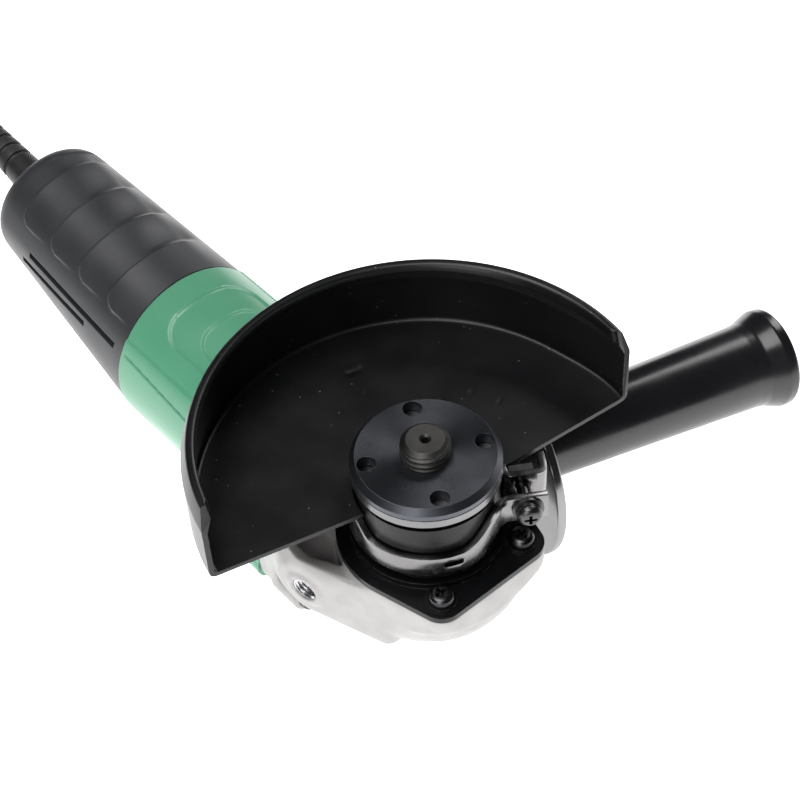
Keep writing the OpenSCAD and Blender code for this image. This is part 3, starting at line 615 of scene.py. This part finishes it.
def strap_mesh(path, thickness, heights, skip):
    """A sheet strip standing on edge along a plan path. heights gives its levels, skip the holes."""
    rows = []
    for i, point in enumerate(path):
        before, after = path[max(i - 1, 0)], path[min(i + 1, len(path) - 1)]
        along = (Vector(after) - Vector(before)).normalized()
        aside = Vector((along.y, -along.x)) * thickness / 2
        rows.append((Vector(point) + aside, Vector(point) - aside, heights(i)))
    levels = len(rows[0][2])
    points = [(side.x, side.y, z) for outer, inner, zs in rows for side in (outer, inner) for z in zs]

    def at(i, side, k):
        """The index of row i's point at level k, on the outer (0) or the inner (1) side."""
        return (i * 2 + side) * levels + k

    def is_open(i, k):
        """Whether a cell is missing, as a hole or past the strip's border."""
        inside = 0 <= i < len(rows) - 1 and 0 <= k < levels - 1
        return not inside or skip(i, k)

    faces = []
    for i in range(len(rows) - 1):
        for k in range(levels - 1):
            if skip(i, k):
                continue
            faces.append((at(i, 0, k), at(i + 1, 0, k), at(i + 1, 0, k + 1), at(i, 0, k + 1)))
            faces.append((at(i, 1, k), at(i, 1, k + 1), at(i + 1, 1, k + 1), at(i + 1, 1, k)))
            # an edge beside a hole or at the strip's border is closed across the thickness
            edges = (((i - 1, k), (i, k), (i, k + 1)),
                     ((i + 1, k), (i + 1, k), (i + 1, k + 1)),
                     ((i, k - 1), (i, k), (i + 1, k)),
                     ((i, k + 1), (i, k + 1), (i + 1, k + 1)))
            for beside, (i0, k0), (i1, k1) in edges:
                if is_open(*beside):
                    faces.append((at(i0, 0, k0), at(i1, 0, k1), at(i1, 1, k1), at(i0, 1, k0)))
    return points, faces


def guard_collar(material):
    """The clamp: a band round the neck with two ears, one of them hooked, and a flange on the plate."""
    band_r, thickness = 21.3, 1.8
    band_low, band_front, plate_low = -25.5, -18.6, -13.7
    ear_low, ear_top = -20.8, -11.6
    # where the strap's edges change their height, and over how many degrees
    under_plate, to_front, front_to_ear, low_to_ear = (6, 12), (196, 22), (288, 36), (296, 26)
    window_a, half_window = 278, 7
    near, far, hook, far_end, ear_angle = -1.9, -9.9, 32.3, 31.6, math.radians(-33)
    ears = Matrix.Rotation(ear_angle, 2)
    near_a = math.degrees(math.asin(near / band_r))
    far_a = 360 + math.degrees(math.asin(far / band_r))
    first, last = near_a + 14, far_a - 14
    steps = 110
    arc = [math.radians(first + (last - first) * i / steps) for i in range(steps + 1)]
    corners = [(hook, 4.9, 0), (hook, near, 2.4), (band_r * math.cos(math.radians(near_a)), near, 4)]
    corners += [(band_r * math.cos(a), band_r * math.sin(a), 0) for a in arc]
    corners += [(band_r * math.cos(math.radians(far_a)), far, 5), (far_end, far, 0)]
    outline = rounded(corners, 8)
    path = [tuple(ears @ Vector(p)) for p in outline]

    def polar(i):
        """Angle of an outline point, and whether it lies on an ear."""
        x, y = outline[i]
        return math.degrees(math.atan2(y, x)) % 360, math.hypot(x, y) > band_r + 0.3

    def change(a, stretch):
        start, width = stretch
        return smooth_step((a - start) / width)

    def heights(i):
        """The strap is high under the plate and at the ears, and low in front."""
        a, on_ear = polar(i)
        low, top = ear_low, ear_top
        if not on_ear:
            low = band_low + (ear_low - band_low) * change(a, low_to_ear)
            top += (plate_low - ear_top) * change(a, under_plate)
            top += (band_front - plate_low) * change(a, to_front)
            top += (ear_top - top) * change(a, front_to_ear)
        return [low, low + 0.42 * (top - low), low + 0.68 * (top - low), top]

    def window(i, k):
        """The opening in the band, on the far ear's side."""
        a, on_ear = polar(i)
        return k == 1 and abs(a - window_a) < half_window and not on_ear

    collar = build("collar_strap", [strap_mesh(path, thickness, heights, window)])
    screw_place, hole_r = (26, 0, -16), 2.2
    screw_hole = lathe([(0, -30), (hole_r, -30), (hole_r, 10), (0, 10)], 32)
    screw_axis = Matrix.Rotation(ear_angle, 4, "Z") @ axis_frame(screw_place, (0, 1, 0), (1, 0, 0))
    cut_away(collar, [moved(screw_hole, screw_axis)])
    soften(collar, 0.35, 3)
    inner, outer, flange_low, flange_high = 20.3, 27.5, -15.1, -13.65
    section = rounded([(inner, flange_low, 0.2), (outer, flange_low, 0.5),
                       (outer, flange_high, 0.5), (inner, flange_high, 0.2)])
    flange_start, flange_span = -9.5, 175
    flange = build("collar_flange", [lathe(section, 120, flange_start, flange_span)])
    piece(collar, "guard", material, "guard_collar")
    piece(flange, "guard", material)


def spindle(material):
    """The shaft, with a screw thread and a lathe centre hole at its free end."""
    high = box_mm("spindle")[1].z
    thread_r, pitch, depth = 6.95, 2.0, 0.62
    chamfer, chamfer_low = 1.65, high - 1.5
    # from the hidden end up: bush seat, gear seat with the circlip's groove, shoulder, bearing seat
    rows = [(0, -61), (3.6, -61), (4, -60.6), (4, -43), (6.5, -43), (6.5, -42.2), (5.9, -42.2), (5.9, -41),
            (6.5, -41), (6.5, -28.5), (8.6, -28.5), (8.6, -25.5), (7.5, -25.5), (7.5, -12), (6.75, -12)]
    top_rows = 44
    thread_low = -4.5
    rows += [(thread_r, thread_low + (high - thread_low) * i / top_rows) for i in range(top_rows + 1)]
    hole_r, hole_depth = 1.0, 3
    rows += [(1.7, high), (1.1, high - 0.6), (hole_r, high - hole_depth), (0, high - hole_depth)]

    def shape(a, r, z):
        if z >= thread_low and r > 6.8:
            turn = (z / pitch - a / 360) % 1
            groove = depth * smooth_step(1.25 - abs(turn - 0.5) * 4)
            r -= groove * smooth_step((z - thread_low) / 0.8)
            r = min(r, thread_r - chamfer * max(0, z - chamfer_low) / (high - chamfer_low))
        return a, r, z

    piece(build("spindle_shaft", [lathe(rows, 96, shape=shape)]), "spindle", material, "spindle", sharp=30)


def gear_case(material):
    """The casting: the CAD solid with its edges rounded off as a mould leaves them."""
    copy = bpy.data.objects.new("gear_case_casting", NODES["gear_case"].data.copy())
    bpy.context.scene.collection.objects.link(copy)
    remesh = copy.modifiers.new("remesh", "REMESH")
    remesh.mode = "VOXEL"
    remesh.voxel_size = 0.6 * MM
    smooth = copy.modifiers.new("smooth", "SMOOTH")
    smooth.factor = 0.5
    smooth.iterations = 7
    bake_modifiers(copy)
    piece(copy, "tool", material, "gear_case", sharp=70)


def threaded_hole(material):
    """The thread inside the spare handle hole."""
    pitch, major, minor = 1.25, 3.86, 3.25
    steps, depth, lead_in = 60, 12, 0.6
    low, high = BOSS_END - depth, BOSS_END - lead_in
    crest = [(minor, low + (high - low) * i / steps) for i in range(steps + 1)]
    outline = [(major, low)] + crest + [(major, high)]

    def shape(a, r, z):
        if r < major - 0.01:
            turn = (z / pitch - a / 360) % 1
            r += (major - 0.06 - minor) * smooth_step(1.2 - abs(turn - 0.5) * 3.4)
        return a, r, z

    thread = build("spare_hole_thread", [lathe(outline, 48, shape=shape)], SPARE_HOLE)
    piece(thread, "tool", material, sharp=60)


def foot_radius(a):
    """The housing's section: a circle with a flat foot on the tool's back, where a is 90 degrees."""
    half_foot = 12
    drop = MOTOR_Z - BACK_Z
    reach = math.hypot(half_foot, drop)
    corner = math.degrees(math.atan2(drop, half_foot))
    touch = corner - math.degrees(math.acos(HOUSING_R / reach))
    side = 90 - abs((a % 360) - 90)
    if side >= corner:
        return drop / math.sin(math.radians(side))
    if side > touch:
        return HOUSING_R / math.cos(math.radians(side - touch))
    return HOUSING_R


def from_top(a):
    """Angle from the spindle side towards -X, for an angle of the motor or tail frame."""
    return (-90 - a + 180) % 360 - 180


def motor_housing(material):
    """The green shell with sunk panels on its top, and the flange, screw posts and arms on it."""
    low, high = box_mm("motor_housing")
    bore, face, seam = 24.9, low.y, high.y
    skin = HOUSING_R - 0.1
    panels = (17.5, 105.5, 9), (13, 93.6, 8)  # half width, end and corner radius
    panel_depth, panel_edge = 0.55, 0.9
    band_lift, band_low, band_high = 0.35, 52, 125  # the sides stand out between these angles
    groove_depth, groove_angle, groove_drift = 0.6, 62.5, 0.18
    end = seam - 0.1
    outline = rounded([(bore, face, 0), (HOUSING_R, face, 0), (HOUSING_R, end, 0.5), (bore, end, 0)], 3)
    outline = dense(outline, 0.45, lambda r, y: r > skin)

    def shape(a, r, y):
        if r < bore + 0.5:
            return a, r, y
        top = from_top(a)
        s = HOUSING_R * math.radians(top)
        r += foot_radius(a) - HOUSING_R
        for panel in panels:
            r -= panel_depth * smooth_step(-panel_distance(s, y, *panel) / panel_edge)
        r += band_lift * smooth_step((abs(top) - band_low) / 2) * smooth_step((band_high - abs(top)) / 4)
        line = groove_angle + groove_drift * (seam - y)
        groove = smooth_step(1.5 - abs(abs(top) - line) * 1.6)
        r -= groove_depth * groove * smooth_step((seam - 1.5 - y) / 0.5)
        return a, r, y

    shell = build("motor_housing_shell", [lathe(outline, 480, shape=shape)], MOTOR)
    half, drop, top, corner, thickness = 30.5, MOTOR_Z - BACK_Z, 27, 8, 8
    square = [(-half, -top, corner), (half, -top, corner), (half, drop, corner), (-half, drop, corner)]
    skirt = build("housing_flange", [slab(rounded(square, 8), face, face + thickness)], MOTOR)
    inner, ends = bore + 0.6, (face - 1, face + thickness + 1)
    cut_away(skirt, [lathe([(0, ends[0]), (inner, ends[0]), (inner, ends[1]), (0, ends[1])], 96)], MOTOR)
    soften(skirt, 0.8, 3)
    post_r, post_end = 5.6, face + 16
    post = lathe(rounded([(0, face, 0), (post_r, face, 0), (post_r, post_end, 1.2), (0, post_end, 0)], 4), 32)
    places = [(x, z, 0) for x in (-25.5, 25.5) for z in (-22.5, 22.5)]
    posts = build("housing_posts", [moved(post, Matrix.Translation(place)) for place in places], MOTOR)
    arm_start, arm_width, half_arm = 107.5, 11, 4
    arm = block((0, -half_arm, arm_start), (arm_width, half_arm, seam - 0.2))
    arm_places = (-23.6, 0, 0), (12.6, 0, 0)
    arms = build("housing_arms", [moved(arm, Matrix.Translation(place)) for place in arm_places], MOTOR)
    piece(shell, "tool", material, "motor_housing")
    for part in (skirt, posts, arms):
        piece(part, "tool", material)


def tail_cover(material):
    """The dark cover: a tapering tube with overlapping scales on top, air slots and the switch's window."""
    taper, wall, corner, cable_hole = 0.084, 2.4, 9, 6.6
    first, last_step, pitch, count = 2.5, 65.5, 15.7, 4
    half_width, lift = 22, 0.95
    hollow_depth, hollow_start, hollow_length = 0.8, 2.2, 14
    slots = (-20, 31, 50, -4.7), (-8, 41, 38, -7.5)  # angle, middle, length and slant
    slot_in, slot_out, half_slot = 19, 32, 1
    scale_side, hollow_left, hollow_right = -20, -22, 4

    def radius(u):
        return HOUSING_R - taper * u

    end_r = radius(TAIL_LENGTH)
    outline = rounded([
        (radius(-9) - wall, -9, 0), (radius(-9), -9, 0), (end_r, TAIL_LENGTH, corner),
        (cable_hole, TAIL_LENGTH, 0.4), (cable_hole, TAIL_LENGTH - wall, 0.2),
        (end_r - wall, TAIL_LENGTH - wall, corner - wall)], 10)
    outline = dense(outline, 0.4, lambda r, u: r > radius(u) - 0.3)

    def shape(a, r, u):
        if r < radius(u) - 1.2 or u > TAIL_LENGTH - 6:
            return a, r, u
        top = from_top(a)
        s = radius(u) * math.radians(top)
        for k in range(count):
            end = last_step - pitch * k
            start = end - pitch
            if start < u < end + 0.5:
                slope_start = max(start, first)
                ramp = min(1, (u - slope_start) / (end - slope_start)) ** 1.4
                inside = smooth_step(-panel_distance(s, u, half_width, end, 6) / 0.55)
                inside *= smooth_step((s - scale_side) / 10)
                r += lift * ramp * inside
            # a shallow finger hollow behind each scale's end
            hollow = smooth_step((u - end) / hollow_start) * smooth_step((end + hollow_length - u) / 12)
            hollow *= smooth_step((s - hollow_left) / 7) * smooth_step((hollow_right - s) / 12)
            r -= hollow_depth * hollow
        return a, r, u

    shell = build("tail_cover_shell", [lathe(outline, 400, shape=shape)], TAIL)
    # the seam is square to the motor, not to the tail
    seam_place = TAIL.inverted() @ axis_frame((0, SEAM_Y, MOTOR_Z), (0, 1, 0), (1, 0, 0))
    cutters = [moved(block((-40, -40, -20), (40, 40, 0.05)), seam_place)]
    for mirrored in (1, -1):
        for angle, middle, slot_length, slant in slots:
            slot = block((slot_in, -half_slot, -slot_length / 2), (slot_out, half_slot, slot_length / 2))
            place = Matrix.Diagonal((mirrored, 1, 1, 1)) @ Matrix.Rotation(math.radians(angle), 4, "Z")
            place = place @ Matrix.Translation((0, 0, middle)) @ Matrix.Rotation(math.radians(slant), 4, "X")
            cutters.append(moved(slot, place))
    window, window_angle = block((17, -4.3, 11), (33, 4.3, 39.5)), math.radians(25)
    cutters.append(moved(window, Matrix.Rotation(window_angle, 4, "Z")))
    for cutter in cutters:
        cut_away(shell, [cutter], TAIL)
    piece(shell, "tool", material, "tail_cover")


def handle_grip(material, stop_material):
    """The moulded grip and its round hand stop, both cut flat where they lie on the ground."""
    start, bore_end, end = 36, 60, 138
    stud_r, hub_r, base_r, tip_r, flare_r = 3.9, 9, 11.2, 13.3, 15.75
    stop_r, stop_low, stop_high, collar_end = 31.7, 43.3, 46.3, 48.4
    grip = rounded([
        (stud_r, start, 0.2), (hub_r, start, 0.6), (hub_r, stop_low, 1), (base_r, stop_low + 0.7, 0),
        (base_r, stop_high, 0), (tip_r, end - 12, 8), (tip_r + 0.3, end - 9, 5), (flare_r, end - 3.5, 3),
        (flare_r, end, 2.2), (flare_r - 3.2, end, 0.6), (flare_r - 3.8, end - 0.9, 0.6),
        (0, end - 0.9, 0), (0, bore_end, 0), (stud_r, bore_end, 0)], 8)
    stop = rounded([
        (hub_r - 0.5, stop_low, 0), (stop_r, stop_low, 0.9), (stop_r, stop_high, 0.9),
        (base_r + 2.2, stop_high, 1.6), (base_r + 0.1, collar_end, 0), (hub_r - 0.5, collar_end, 0)], 8)
    for name, outline, look, node in (("side_handle_grip", grip, material, "handle_grip"),
                                      ("hand_stop", stop, stop_material, None)):
        part = build(name, [lathe(outline, 128)], HANDLE)
        for vertex in part.data.vertices:
            vertex.co.z = max(vertex.co.z, BACK_Z * MM)
        piece(part, "side_handle", look, node)


def cord_sleeve(material):
    """The rubber sleeve that guides the lead out of the tail, with ribs towards its tip."""
    start, collar_r, collar_end = 72, 8.6, 74.7
    end, ribs, rib_pitch, rib_gap, rib_depth = TAIL_LENGTH + 40, 5, 5, 1.5, 0.9
    hole, root_r, tip_r = CORD_D / 2 + 0.02, 6.4, CORD_D / 2 + 0.8
    corners = [(hole, start, 0), (collar_r, start, 0.3), (collar_r, collar_end, 0.3),
               (root_r, collar_end, 0.1), (root_r, TAIL_LENGTH + 2, 1)]
    for i in range(ribs):
        gap = end - (ribs - i) * rib_pitch
        r = root_r + (tip_r - root_r) * (gap - TAIL_LENGTH) / (end - TAIL_LENGTH)
        corners += [(r, gap, 0.3), (r - rib_depth, gap, 0.2),
                    (r - rib_depth, gap + rib_gap, 0.2), (r, gap + rib_gap, 0.3)]
    corners += [(tip_r, end, 0.4), (hole, end, 0)]
    piece(build("lead_sleeve", [lathe(rounded(corners, 3), 64)], TAIL), "tool", material, "cord_sleeve")


# ---- studio ----

def area_light(name, place, target, size, energy):
    """A white soft box of that size in metres and energy in watts, turned to target."""
    data = bpy.data.lights.new(name, "AREA")
    data.shape = "RECTANGLE"
    data.size, data.size_y = size
    data.energy = energy
    lamp = bpy.data.objects.new(name, data)
    lamp.location = place
    lamp.rotation_mode = "QUATERNION"
    lamp.rotation_quaternion = (Vector(target) - Vector(place)).to_track_quat("-Z", "Y")
    bpy.context.scene.collection.objects.link(lamp)


def studio():
    """A white floor under the tool, a faint white world and three soft boxes."""
    bpy.context.scene.view_settings.view_transform = "Standard"
    world = bpy.data.worlds.new("studio")
    bpy.context.scene.world = world
    world.use_nodes = True
    background = world.node_tree.nodes["Background"]
    background.inputs["Color"].default_value = (1, 1, 1, 1)
    background.inputs["Strength"].default_value = 0.03
    half, gap = 4, 0.0002
    z = BACK_Z * MM - gap
    corners = [(-half, -half, z), (half, -half, z), (half, half, z), (-half, half, z)]
    mesh = bpy.data.meshes.new("floor")
    mesh.from_pydata(corners, [], [(0, 1, 2, 3)])
    floor = bpy.data.objects.new("floor", mesh)
    bpy.context.scene.collection.objects.link(floor)
    material = bpy.data.materials.new("floor_white")
    material.use_nodes = True
    shader = material.node_tree.nodes["Principled BSDF"]
    shader.inputs["Base Color"].default_value = (0.9, 0.9, 0.9, 1)
    shader.inputs["Roughness"].default_value = 0.8
    shader.inputs["Emission Color"].default_value = (1, 1, 1, 1)
    shader.inputs["Emission Strength"].default_value = 1.3
    mesh.materials.append(material)
    centre = (0, 0.06, -0.04)
    area_light("overhead", (-0.3, 0.15, 1.1), centre, (0.9, 0.7), 12)
    area_light("front_left", (-0.9, -0.5, 0.55), centre, (0.5, 0.8), 5)
    area_light("right", (0.95, 0.35, 0.65), centre, (0.4, 0.8), 5.5)


def finish_nodes(materials):
    """Gives every CAD node that still shows its material."""
    for material, names in materials.items():
        for name in names.split():
            slots = NODES[name].data.materials
            slots.clear()
            slots.append(material)


place_camera()
cord = lead()
studio()

guard_paint = paint("guard_paint", 0.34, orange_peel=0.008, dust=0.3, shine=0.35)
neck_paint = paint("neck_paint", 0.30, orange_peel=0.003, dust=0.15, shine=0.2)
collar_steel = metal("collar_steel", (0.17, 0.165, 0.165), 0.22, (0.3, 0.3, 0.3))
aluminium = casting("cast_aluminium")
green = plastic("green_housing", (0.085, 0.295, 0.175), 0.33, (0.11, 0.34, 0.21),
                depth=0.006, wear=0, mottling=0.3)
charcoal = plastic("tail_plastic", (0.026, 0.027, 0.030), 0.42, (0.034, 0.035, 0.039),
                   grain=0.45, wear=0, mottling=0.4)
black_plastic = plastic("black_plastic", (0.007, 0.0073, 0.0085), 0.24, (0.011, 0.011, 0.013),
                        grain=0.4, depth=0.006, wear=0, mottling=0.4, shine=0.6)
# the photo's hand stop mirrors the room more than its black colour explains
stop_plastic = plastic("stop_plastic", (0.012, 0.0122, 0.013), 0.2, (0.016, 0.016, 0.018),
                       grain=0.4, depth=0.004, wear=0, mottling=0.4, shine=1.0, ior=2.0)
nylon = plastic("nylon", (0.02, 0.02, 0.022), 0.38, (0.05, 0.05, 0.053), grain=0.8, depth=0.008)
pale_plastic = plastic("pale_plastic", (0.7, 0.67, 0.58), 0.4, (0.8, 0.78, 0.72))
nut_steel = turned_black("blackened_turned")
satin_steel = metal("satin_flange", (0.16, 0.16, 0.165), 0.3, (0.3, 0.3, 0.3), pitch=0.5)
spindle_steel = metal("blackened_spindle", (0.075, 0.073, 0.070), 0.48, (0.12, 0.12, 0.12))
dark_steel = metal("blackened_screws", (0.045, 0.045, 0.048), 0.3, (0.25, 0.25, 0.25))
bright_steel = metal("turned_steel", (0.55, 0.55, 0.57), 0.28, (0.75, 0.75, 0.76), pitch=0.5)
brass = metal("brass", (0.72, 0.52, 0.22), 0.35, (0.85, 0.7, 0.4))
carbon = plastic("carbon", (0.03, 0.03, 0.032), 0.6, (0.08, 0.08, 0.085), grain=0.3, depth=0.02)
copper = copper_wire("copper_wire")
iron = laminations("laminations")
black_rubber = rubber("black_rubber")

piece(cord, "tool", black_rubber, "cord_run", ("cord_coil", "cord_end"))
wheel_guard(guard_paint)
guard_collar(collar_steel)
spindle(spindle_steel)
gear_case(aluminium)
threaded_hole(bright_steel)
motor_housing(green)
tail_cover(charcoal)
handle_grip(black_plastic, stop_plastic)
cord_sleeve(black_rubber)

finish_nodes({
    neck_paint: "bearing_cover",
    nut_steel: "lock_nut",
    satin_steel: "inner_flange",
    bright_steel: "lock_pin spindle_bearing front_bearing rear_bearing armature_shaft"
                  " handle_stud ring_gear pinion lock_spring brush_springs switch_rod plug_pins",
    dark_steel: "clamp_washers cover_screws case_screws clamp_screw clamp_nut tail_screw"
                " cord_clamp_screws gear_circlip lock_pin_clip pinion_nut front_bearing_plate"
                " bearing_retainer",
    iron: "stator_core armature_core",
    copper: "field_coils armature_windings commutator",
    brass: "needle_bush brush_holders",
    carbon: "carbon_brushes",
    nylon: "coil_tie lock_button switch_knob plug_body rear_spider fan_baffle cooling_fan"
           " switch_body cord_clamp",
    pale_plastic: "switch_plunger",
    black_rubber: "rear_bearing_bush inner_cord",
})
